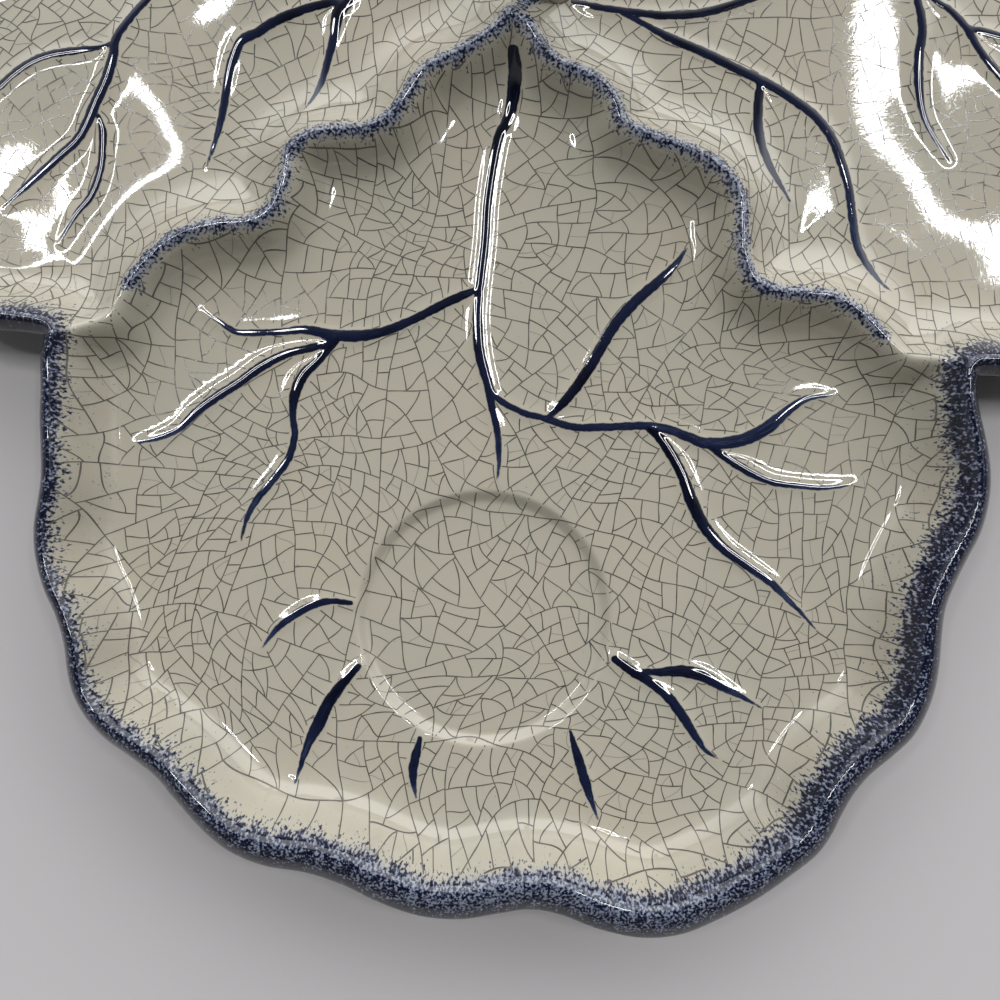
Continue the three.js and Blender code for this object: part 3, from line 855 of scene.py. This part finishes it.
def leaf_skin(name, edges, middle, node):
    """A leaf's glazed skin, top, wall and underside, and the cracks that lie on it."""
    edge = np.vstack(edges)
    count = len(edge)
    inner_edge = floor_edge(edge)
    across = left_of(edge)
    close = [edge + run * across for run in INNER_ROWS]
    field = lattice(inside(edge), edge)
    close = [row[read(edge_gap, row) > 0.6 * run] for row, run in zip(close, INNER_ROWS)]
    top = np.vstack([edge] + close + [field])
    bounds = [(i, (i + 1) % count) for i in range(count)]
    made = delaunay_2d_cdt([Vector(p) for p in top], bounds, [], 0, 1e-5, True)
    at = np.array([tuple(p) for p in made[0]])
    corners = np.array([tuple(face) for face in made[2]])
    faces = corners[within(edge, at[corners].mean(1))].tolist()
    source = np.full(count, -1)
    for index, origins in enumerate(made[3]):
        for origin in origins:
            if origin < count:
                source[origin] = index
    top_points = np.column_stack([at, heights(at)])
    tree = BVHTree.FromPolygons(top_points.tolist(), faces)
    facing = normals(at)
    flat = np.column_stack([at, np.zeros(len(at))])

    # The wall under the edge: a rim's wall slopes in, and a divider's stands straight
    is_rim = np.zeros(count)
    is_rim[: len(edges[0])] = 1
    edge_height = heights(edge)
    wall_flat, wall_facing, drops = [], [], []
    fallen = np.zeros(count)
    section_points = [np.column_stack([edge, edge_height])]
    for run_share, height in WALL:
        run = np.where(is_rim > 0, run_share, 0 if run_share < 1 else 1)[:, None]
        ring = edge * (1 - run) + inner_edge * run
        z = UNDERSIDE + (height - UNDERSIDE) * (edge_height - UNDERSIDE) / (RIM_TOP - EDGE_DROP - UNDERSIDE)
        z = np.minimum(z, edge_height)
        section_points.append(np.column_stack([ring, z]))
    for k in range(1, len(section_points)):
        here = section_points[k]
        before = section_points[k - 1]
        after = section_points[min(k + 1, len(section_points) - 1)]
        drops.append(np.linalg.norm(here - before, axis=1))
        fallen = fallen + drops[-1]
        side = np.roll(here, -1, axis=0) - np.roll(here, 1, axis=0)
        out = unit(np.cross(after - before, side), 1e-12)
        if k == len(section_points) - 1:
            out[:] = (0, 0, -1)
        wall_facing.append(out)
        wall_flat.append(np.column_stack([edge - across * fallen[:, None], np.zeros(count)]))
    points = np.vstack([top_points] + section_points[1:] + [np.array([[*middle, UNDERSIDE]])])
    start = len(top_points)
    rings = [source.tolist()]
    rings += [list(range(start + k * count, start + (k + 1) * count)) for k in range(len(WALL))]
    centre = len(points) - 1
    for i, n in bounds:
        for outer, inner in zip(rings, rings[1:]):
            faces.append([outer[n], outer[i], inner[i], inner[n]])
        faces.append([rings[-1][n], rings[-1][i], centre])
    facing = np.vstack([facing] + wall_facing + [np.array([[0, 0, -1]])])
    # Where the top meets a rim's wall they share one direction
    facing[source] = unit(facing[source] + wall_facing[0] * is_rim[:, None])
    flat = np.vstack([flat] + wall_flat + [np.array([[*middle, 0]])])
    thing = mesh_object(name, on_platter(points), faces, facing)
    below = len(points) - start
    drops = np.cumsum(drops, axis=0)
    wall_gap = np.where(is_rim > 0, drops - WALL_BAND, FAR_GAP).ravel()
    wall_run = np.where(is_rim > 0, -drops, FAR_GAP).ravel()
    for field_name, field, beneath in (
        ("blue_gap", blue_gap, [*wall_gap, FAR_GAP]),
        ("edge_run", inwards, [*wall_run, FAR_GAP]),
        ("speck_extra", speck_extra, [0] * below),
        ("vein_gap", vein_gap, [FAR_GAP] * below),
        ("vein_tone", vein_tone, [0] * below),
        ("vein_along", vein_along, [0] * below),
    ):
        values = np.concatenate([read(field, at), beneath])
        limit = 1e9 if field_name == "vein_along" else GAP_LIMIT
        set_attribute(thing.data, field_name, np.clip(values, -limit, limit))
    set_attribute(thing.data, "flat", flat)
    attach(thing, "root")
    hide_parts(node)
    crackle_name = name.replace("glazed", "crackle")
    return thing, crackle_skin(crackle_name, inside(edge).astype(float), tree)


middles = {"front": FRONT_MIDDLE, "left": LEFT_MIDDLE, "right": RIGHT_MIDDLE}
leaves, crackles = [], []
for side in middles:
    leaf, crackle = leaf_skin(f"{side}_leaf_glazed", leaf_edges[side], middles[side], f"{side}_leaf_dish")
    leaves.append(leaf)
    crackles.append(crackle)


# Materials
class Nodes:
    """A node tree that is written as sums."""

    def __init__(self, tree):
        self.tree = tree
        self.tree.nodes.clear()

    def node(self, kind, inputs, **settings):
        made = self.tree.nodes.new("ShaderNode" + kind)
        for key, value in settings.items():
            setattr(made, key, value)
        for key, value in inputs.items():
            self.put(made.inputs[key], value)
        return made

    def put(self, socket, value):
        if isinstance(value, bpy.types.NodeSocket):
            self.tree.links.new(value, socket)
        else:
            socket.default_value = value

    def sum(self, operation, *values):
        return self.node("Math", dict(enumerate(values)), operation=operation).outputs[0]

    def plus(self, a, b):
        return self.sum("ADD", a, b)

    def minus(self, a, b):
        return self.sum("SUBTRACT", a, b)

    def times(self, a, b):
        return self.sum("MULTIPLY", a, b)

    def vector(self, operation, *values):
        inputs = {}
        for index, value in enumerate(values):
            inputs["Scale" if operation == "SCALE" and index == 1 else index] = value
        return self.node("VectorMath", inputs, operation=operation).outputs[0]

    def attribute(self, name, part="Fac"):
        return self.node("Attribute", {}, attribute_name=name).outputs[part]

    def noise(self, at, size, detail=2.0, roughness=0.5, part=0, kind="2D"):
        inputs = {"Vector": at, "Scale": 1 / size, "Detail": detail, "Roughness": roughness}
        return self.node("TexNoise", inputs, noise_dimensions=kind).outputs[part]

    def cell_edge(self, at, size, kind="2D"):
        """How far a place is from the edge of its cell, in shares of the cells' size."""
        settings = {"feature": "DISTANCE_TO_EDGE", "voronoi_dimensions": kind}
        return self.node("TexVoronoi", {"Vector": at, "Scale": 1 / size}, **settings).outputs["Distance"]

    def remap(self, value, low_in, high_in, low_out=0.0, high_out=1.0, smooth=True):
        inputs = {"Value": value, "From Min": low_in, "From Max": high_in}
        inputs.update({"To Min": low_out, "To Max": high_out})
        made = self.node("MapRange", inputs, interpolation_type="SMOOTHSTEP" if smooth else "LINEAR")
        return made.outputs[0]

    def mix(self, share, a, b):
        made = self.tree.nodes.new("ShaderNodeMix")
        made.data_type = "RGBA"
        self.put(made.inputs[0], share)
        self.put(made.inputs[6], a if isinstance(a, bpy.types.NodeSocket) else (*a, 1))
        self.put(made.inputs[7], b if isinstance(b, bpy.types.NodeSocket) else (*b, 1))
        return made.outputs[2]


class Paint(Nodes):
    """A glossy or dull material."""

    def __init__(self, name):
        self.material = bpy.data.materials.new(name)
        self.material.use_nodes = True
        super().__init__(self.material.node_tree)
        output = self.node("OutputMaterial", {})
        self.shader = self.node("BsdfPrincipled", {})
        self.put(output.inputs[0], self.shader.outputs[0])

    def on_object(self):
        """The place on the object, in mm."""
        return self.vector("SCALE", self.node("TexCoord", {}).outputs["Object"], 1000.0)

    def swing(self, at, size, detail, reach):
        """A noise that swings both ways round nothing."""
        return self.times(self.minus(self.noise(at, size, detail), 0.5), reach)

    def made(self, **values):
        """The material, with its shader's values or links set."""
        for name, value in values.items():
            self.put(self.shader.inputs[name.replace("_", " ")], value)
        return self.material


CREAM = (0.40, 0.38, 0.316)
CREAM_WARM = (0.42, 0.39, 0.317)
CRACK = (0.09, 0.086, 0.075)
CRACK_WORN = (0.13, 0.122, 0.105)
HAIRLINE = (0.3, 0.28, 0.235)
PALE_BLUE = (0.215, 0.242, 0.308)
NAVY = (0.008, 0.012, 0.034)
NAVY_THIN = (0.03, 0.042, 0.09)
NAVY_DEEP = (0.0025, 0.003, 0.008)
SPECK = (0.003, 0.004, 0.014)
SPECK_THIN = (0.06, 0.075, 0.135)
GLAZE_IOR = 1.52
RIPPLE = 0.0045
WALL_CELL = 5.0


def leaf_material(name):
    paint = Paint(name)
    at = paint.attribute("flat", "Vector")
    edge_run = paint.attribute("edge_run")
    body = paint.mix(paint.remap(paint.noise(at, 30.0, 3.0), 0.3, 0.7, smooth=False), CREAM, CREAM_WARM)
    # Under the rim the crackle is painted; on top it has lines of its own
    bend = paint.vector("SUBTRACT", paint.noise(at, 8.0, 0.0, part=1), (0.5, 0.5, 0.5))
    bent = paint.vector("ADD", at, paint.vector("SCALE", bend, 3.0))
    cracks = paint.remap(paint.cell_edge(bent, WALL_CELL), 0.01, 0.035, 0.9, 0.0)
    cracks = paint.times(cracks, paint.remap(edge_run, -0.1, 0.0, 1.0, 0.0))
    body = paint.mix(cracks, body, CRACK)

    # The sponged band: a pale blue wash under navy specks that thin out into the cream
    gap = paint.attribute("blue_gap")
    gap = paint.plus(gap, paint.swing(at, 5.0, 2.0, 2.6))
    body = paint.mix(paint.remap(gap, -2.0, 0.3, 0.95, 0.0), body, PALE_BLUE)
    grain = paint.noise(at, 0.62, 1.5, 0.55)
    clumps = paint.noise(at, 2.2, 2.0, 0.6)
    speck = paint.plus(paint.times(grain, 0.68), paint.times(clumps, 0.32))
    level = paint.remap(gap, -1.4, 2.2, 0.5, 0.8, smooth=False)
    level = paint.minus(level, paint.attribute("speck_extra"))
    # Specks crowd in over the last few millimetres of the lip and down the wall beneath it. This crowding
    # is painted shade for the dark turned-down outer edge of the lip, laid over the sponge's own specks.
    level = paint.minus(level, paint.remap(edge_run, -0.5, 4.0, 0.13, 0.0))
    level = paint.minus(level, paint.remap(edge_run, -3.5, -0.5, 0.17, 0.0))
    over = paint.minus(speck, level)
    body = paint.mix(paint.remap(over, -0.1, 0.0, 0.0, 0.92), body, SPECK_THIN)
    body = paint.mix(paint.remap(over, -0.01, 0.06, 0.0, 0.97), body, SPECK)

    # The veins: cobalt brushed along the ribs, near black where it is thick
    vein = paint.attribute("vein_gap")
    tone = paint.attribute("vein_tone")
    run = paint.attribute("vein_along")
    vein = paint.plus(vein, paint.swing(at, 1.6, 2.0, 0.4))
    streak_inputs = {"X": paint.times(run, 0.16), "Y": paint.times(vein, 2.2)}
    streak = paint.noise(paint.node("CombineXYZ", streak_inputs).outputs[0], 1.0, 3.0, 0.6)
    edge = paint.plus(vein, paint.times(streak, 0.16))
    stain = paint.remap(edge, -0.08, 0.22, 1.0, 0.0)
    thick = paint.plus(tone, paint.times(paint.minus(streak, 0.5), 0.9))
    blue = paint.mix(paint.remap(thick, 0.1, 0.5), NAVY_THIN, NAVY)
    blue = paint.mix(paint.remap(thick, 0.6, 1.15), blue, NAVY_DEEP)
    body = paint.mix(stain, body, blue)
    rough = paint.remap(cracks, 0.0, 1.0, 0.03, 0.35, smooth=False)
    ripple = paint.noise(at, 1.4, 2.0, 0.6)
    bump = paint.node("Bump", {"Height": ripple, "Strength": 1.0, "Distance": RIPPLE * MM})
    return paint.made(Base_Color=body, Roughness=rough, Normal=bump.outputs[0], IOR=GLAZE_IOR)


for leaf, side in zip(leaves, middles):
    leaf.data.materials.append(leaf_material(f"{side}_leaf_glaze"))


def crack_material():
    paint = Paint("crack_stain")
    at = paint.attribute("flat", "Vector")
    stain = paint.mix(paint.remap(paint.noise(at, 6.0, 2.0), 0.35, 0.65), CRACK, CRACK_WORN)
    stain = paint.mix(paint.attribute("ink"), HAIRLINE, stain)
    rough = paint.remap(paint.noise(at, 3.0, 2.0), 0.3, 0.7, 0.08, 0.2)
    return paint.made(Base_Color=stain, Roughness=rough, IOR=GLAZE_IOR)


crack_stain = crack_material()
for crackle in crackles:
    crackle.data.materials.append(crack_stain)

# Handle
HANDLE_SPAN = 52.0
HANDLE_TOP = 62.0
SOCKET_DEPTH = 2.4
HANDLE_HALF_WIDE = 5.6
HANDLE_HALF_THICK = 4.6
HANDLE_WAIST = 0.1
HANDLE_FLARE = 1.1
FLARE_RUN = 6.0
HANDLE_CELL = 6.5
HANDLE_STEPS = 150
HANDLE_SIDES = 40
back_notch = back_ridge[-1]
handle_turn = math.atan2(HUB[0] - back_notch[0], back_notch[1] - HUB[1])


def handle_skin():
    """A bar that rises in a half ellipse from the hub towards the back, flared at both feet."""
    steps, sides = HANDLE_STEPS, HANDLE_SIDES
    base = FLOOR - SOCKET_DEPTH
    rise = HANDLE_TOP - HANDLE_HALF_THICK - base
    points = []
    for step in range(steps + 1):
        angle = math.pi * step / steps
        y = HANDLE_SPAN / 2 * (1 - math.cos(angle))
        z = base + rise * math.sin(angle)
        along = np.array([0, HANDLE_SPAN / 2 * math.sin(angle), rise * math.cos(angle)])
        across = np.array([0, -along[2], along[1]]) / np.linalg.norm(along)
        flare = HANDLE_FLARE * float(ease(np.array(1 - (z - FLOOR) / FLARE_RUN)))
        waist = 1 - HANDLE_WAIST * math.sin(2 * angle) ** 2
        for side in range(sides):
            turn = TURN * side / sides
            x = (HANDLE_HALF_WIDE * waist + flare) * math.cos(turn)
            out = (HANDLE_HALF_THICK * waist + flare) * math.sin(turn)
            points.append([x, y + across[1] * out, z + across[2] * out])
    faces = []
    for step in range(steps):
        for side in range(sides):
            n = (side + 1) % sides
            a, b = step * sides, (step + 1) * sides
            faces.append([a + side, b + side, b + n, a + n])
    faces.append(list(range(sides)))
    faces.append(list(range(steps * sides + sides - 1, steps * sides - 1, -1)))
    points = np.array(points)
    c, s = math.cos(handle_turn), math.sin(handle_turn)
    x, y, z = points.T
    placed = np.column_stack([HUB[0] + x * c - y * s, HUB[1] + x * s + y * c, z])
    thing = mesh_object("loop_handle_glazed", on_platter(placed), faces)
    set_attribute(thing.data, "flat", points)
    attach(thing, "root")
    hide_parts("loop_handle")
    return thing


def handle_material():
    paint = Paint("handle_glaze")
    at = paint.attribute("flat", "Vector")
    cracks = paint.remap(paint.cell_edge(at, HANDLE_CELL, kind="3D"), 0.012, 0.045, 0.85, 0.0)
    body = paint.mix(paint.noise(at, 20.0, 3.0, kind="3D"), CREAM, CREAM_WARM)
    body = paint.mix(cracks, body, CRACK)
    height = paint.node("SeparateXYZ", {"Vector": at}).outputs[2]
    grain = paint.noise(at, 0.7, 2.5, 0.62, kind="3D")
    clumps = paint.noise(at, 3.0, 2.0, 0.6, kind="3D")
    speck = paint.plus(paint.times(grain, 0.72), paint.times(clumps, 0.28))
    level = paint.remap(height, 20.0, 52.0, 0.74, 0.5, smooth=False)
    specks = paint.remap(paint.minus(speck, level), -0.02, 0.03)
    body = paint.mix(paint.remap(height, 34.0, 56.0, 0.0, 0.8), body, PALE_BLUE)
    body = paint.mix(specks, body, NAVY)
    rough = paint.remap(cracks, 0.0, 1.0, 0.07, 0.4, smooth=False)
    return paint.made(Base_Color=body, Roughness=rough, IOR=GLAZE_IOR)


handle = handle_skin()
handle.data.materials.append(handle_material())


# Foot rings
def clay_material():
    paint = Paint("bare_clay")
    at = paint.on_object()
    grog = paint.noise(at, 0.9, 4.0, 0.7, kind="3D")
    cloud = paint.noise(at, 14.0, 3.0, kind="3D")
    body = paint.mix(cloud, (0.6, 0.52, 0.4), (0.68, 0.62, 0.5))
    body = paint.mix(paint.remap(grog, 0.62, 0.72), body, (0.3, 0.22, 0.15))
    bump = paint.node("Bump", {"Height": grog, "Strength": 0.4, "Distance": 0.2 * MM})
    return paint.made(Base_Color=body, Normal=bump.outputs[0], Roughness=0.85)


# A foot ring's section: how far in from its outside, at each height
FOOT_SECTION = [
    (6.3, 3.4), (6.1, 2.2), (5.9, 1.2), (5.5, 0.5), (4.8, 0.08), (3.6, 0.0), (2.2, 0.0), (1.1, 0.1),
    (0.45, 0.5), (0.1, 1.2), (0.02, 2.2), (0.02, 3.4),
]
FOOT_STEPS = 160


def foot_ring(name, node):
    """A foot ring turned round its solid's middle, trimmed a little out of round."""
    low_corner, high_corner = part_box(node)
    middle = (low_corner + high_corner) / 2
    radius = (high_corner.x - low_corner.x) / 2 / MM
    points, faces = [], []
    for step in range(FOOT_STEPS):
        turn = TURN * step / FOOT_STEPS
        trim = 1 + 0.0012 * math.sin(3 * turn) + 0.0008 * math.sin(7 * turn + 1)
        for run, z in FOOT_SECTION:
            r = (radius - run) * trim
            points.append([middle.x / MM + r * math.cos(turn), middle.y / MM + r * math.sin(turn), z])
    size = len(FOOT_SECTION)
    for step in range(FOOT_STEPS):
        a, b = step * size, (step + 1) % FOOT_STEPS * size
        for k in range(size):
            n = (k + 1) % size
            faces.append([a + k, b + k, b + n, a + n])
    thing = mesh_object(name, points, faces)
    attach(thing, "root")
    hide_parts(node)
    return thing


clay = clay_material()
for side in middles:
    ring = foot_ring(f"{side}_foot_clay", f"{side}_foot_ring")
    ring.data.materials.append(clay)

# Table, light
TABLE = (0.5, 0.487, 0.497)
TABLE_HALF = 3000


def table_material():
    paint = Paint("table")
    at = paint.on_object()
    darker = tuple(0.985 * c for c in TABLE)
    tone = paint.mix(paint.noise(at, 60.0, 2.0, kind="3D"), TABLE, darker)
    return paint.made(Base_Color=tone, Roughness=0.6)


table_corners = [(x * TABLE_HALF, y * TABLE_HALF, 0) for x, y in ((-1, -1), (1, -1), (1, 1), (-1, 1))]
table = mesh_object("table", table_corners, [[0, 1, 2, 3]])
table.data.materials.append(table_material())

# The sky: bright at the back, dim in front, with a soft light at the left and a dark overhead that two
# rings of lamps stand round. Ways are an azimuth and a rise; limits are cosines, or heights of unit ways
BACK_LIGHT = (76, 33)
BACK_LIMITS = (0.33, 0.95)
BACK_STRENGTH = 3.55
ROOM_STRENGTH = 0.15
WEST_LIGHT = (190, 32)
WEST_LIMITS = (0.75, 0.95)
WEST_STRENGTH = 0.4
DARK_LIMITS = (0.6, 0.92)
DARK_STRENGTH = 0.04
RINGS = [(31, 69), (144, 68)]
RING_RADIUS = 5.3
RING_HALF = 0.7
RING_STRENGTH = 60.0
BACKDROP = (0.62, 0.61, 0.62, 1)


def toward(azimuth, rise):
    """The unit way to a place in the sky, from degrees."""
    a, r = math.radians(azimuth), math.radians(rise)
    return math.cos(r) * math.cos(a), math.cos(r) * math.sin(a), math.sin(r)


world = bpy.data.worlds.new("world")
bpy.context.scene.world = world
world.use_nodes = True
sky = Nodes(world.node_tree)
direction = sky.node("TexCoord", {}).outputs["Generated"]


def facing(way):
    """The cosine between a ray and a way in the sky."""
    return sky.node("VectorMath", {0: direction, 1: toward(*way)}, operation="DOT_PRODUCT").outputs["Value"]


rise = sky.node("SeparateXYZ", {"Vector": direction}).outputs[2]
glow = sky.remap(facing(BACK_LIGHT), *BACK_LIMITS, ROOM_STRENGTH, BACK_STRENGTH)
glow = sky.plus(glow, sky.remap(facing(WEST_LIGHT), *WEST_LIMITS, 0.0, WEST_STRENGTH))
glow = sky.times(glow, sky.remap(rise, *DARK_LIMITS, 1.0, DARK_STRENGTH))
for way in RINGS:
    off = sky.minus(sky.sum("ARCCOSINE", facing(way)), math.radians(RING_RADIUS))
    half = math.radians(RING_HALF)
    ring = sky.remap(sky.sum("ABSOLUTE", off), 0.6 * half, 1.4 * half, RING_STRENGTH, 0.0)
    glow = sky.plus(glow, ring)
light = sky.node("Background", {"Strength": glow}).outputs[0]
backdrop = sky.node("Background", {"Color": BACKDROP}).outputs[0]
seen_by_camera = sky.node("LightPath", {}).outputs["Is Camera Ray"]
chosen = sky.node("MixShader", {0: seen_by_camera, 1: light, 2: backdrop})
sky.node("OutputWorld", {0: chosen.outputs[0]})

scene = bpy.context.scene
scene.view_settings.view_transform = "Standard"
